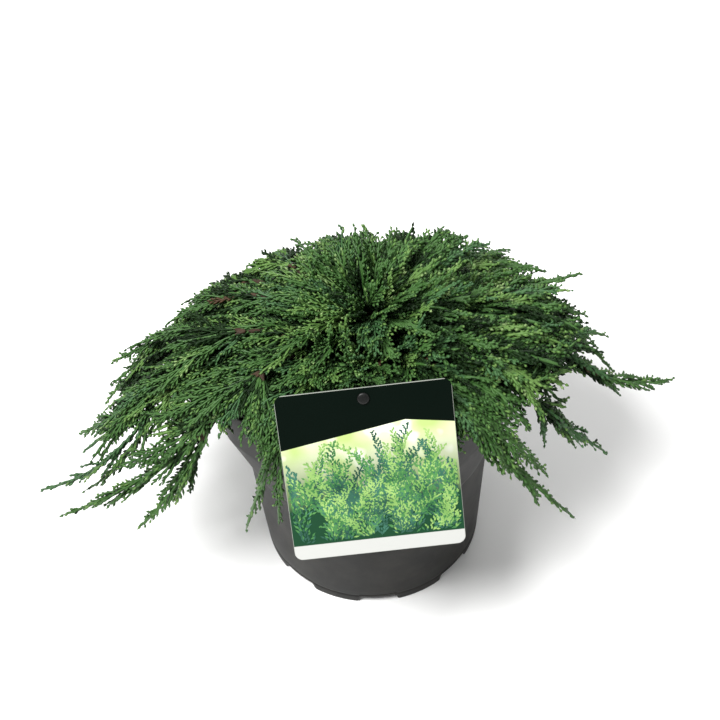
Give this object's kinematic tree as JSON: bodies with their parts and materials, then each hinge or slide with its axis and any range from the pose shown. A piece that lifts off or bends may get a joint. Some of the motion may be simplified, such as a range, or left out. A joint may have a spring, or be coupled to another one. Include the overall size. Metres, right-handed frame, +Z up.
{
  "type": "potted creeping juniper",
  "caption": "Low dome-shaped creeping juniper with shoots spreading over the rim of an eight-sided plastic pot, and a picture card leaning on the front.",
  "frame": {"origin": "middle of the pot's flat underside, on the ground", "axes": "+Z up along the pot's axis, -Y towards the front, where the picture card is, +X to the right as seen from the front"},
  "size_m": [0.4926, 0.3585, 0.3031],
  "materials": {
    "pot": "matte, a little dusty taupe grey plastic",
    "soil": "dark crumbly potting soil",
    "bark": "thin flaking red-brown bark",
    "foliage": "matt scale leaves, dark green inside and yellow-green at the tips",
    "card": "printed stiff plastic card with a soft sheen",
    "peg": "black plastic"
  },
  "bodies": {
    "root": {"pot": "pot", "soil": "soil", "stem": "bark", "label_card": "card", "label_stake": "peg", "bough_skirt_1": "bark", "bough_skirt_2": "bark", "bough_skirt_3": "bark", "bough_skirt_4": "bark", "bough_skirt_5": "bark", "bough_skirt_6": "bark", "bough_skirt_7": "bark", "bough_skirt_8": "bark", "bough_skirt_9": "bark", "bough_skirt_10": "bark", "bough_skirt_11": "bark", "bough_shoulder_1": "bark", "bough_shoulder_2": "bark", "bough_shoulder_3": "bark", "bough_shoulder_4": "bark", "bough_shoulder_5": "bark", "bough_shoulder_6": "bark", "bough_shoulder_7": "bark", "bough_shoulder_8": "bark", "bough_shoulder_9": "bark", "bough_front_1": "bark", "bough_front_2": "bark", "bough_front_3": "bark", "foliage_skirt_1": "foliage", "foliage_skirt_2": "foliage", "foliage_skirt_3": "foliage", "foliage_skirt_4": "foliage", "foliage_skirt_5": "foliage", "foliage_skirt_6": "foliage", "foliage_skirt_7": "foliage", "foliage_skirt_8": "foliage", "foliage_skirt_9": "foliage", "foliage_skirt_10": "foliage", "foliage_skirt_11": "foliage", "foliage_shoulder_1": "foliage", "foliage_shoulder_2": "foliage", "foliage_shoulder_3": "foliage", "foliage_shoulder_4": "foliage", "foliage_shoulder_5": "foliage", "foliage_shoulder_6": "foliage", "foliage_shoulder_7": "foliage", "foliage_shoulder_8": "foliage", "foliage_shoulder_9": "foliage", "foliage_front_1": "foliage", "foliage_front_2": "foliage", "foliage_front_3": "foliage", "foliage_top_1": "foliage", "foliage_top_2": "foliage", "foliage_top_3": "foliage", "foliage_top_4": "foliage", "foliage_crest": "foliage"}
  },
  "joints": []
}
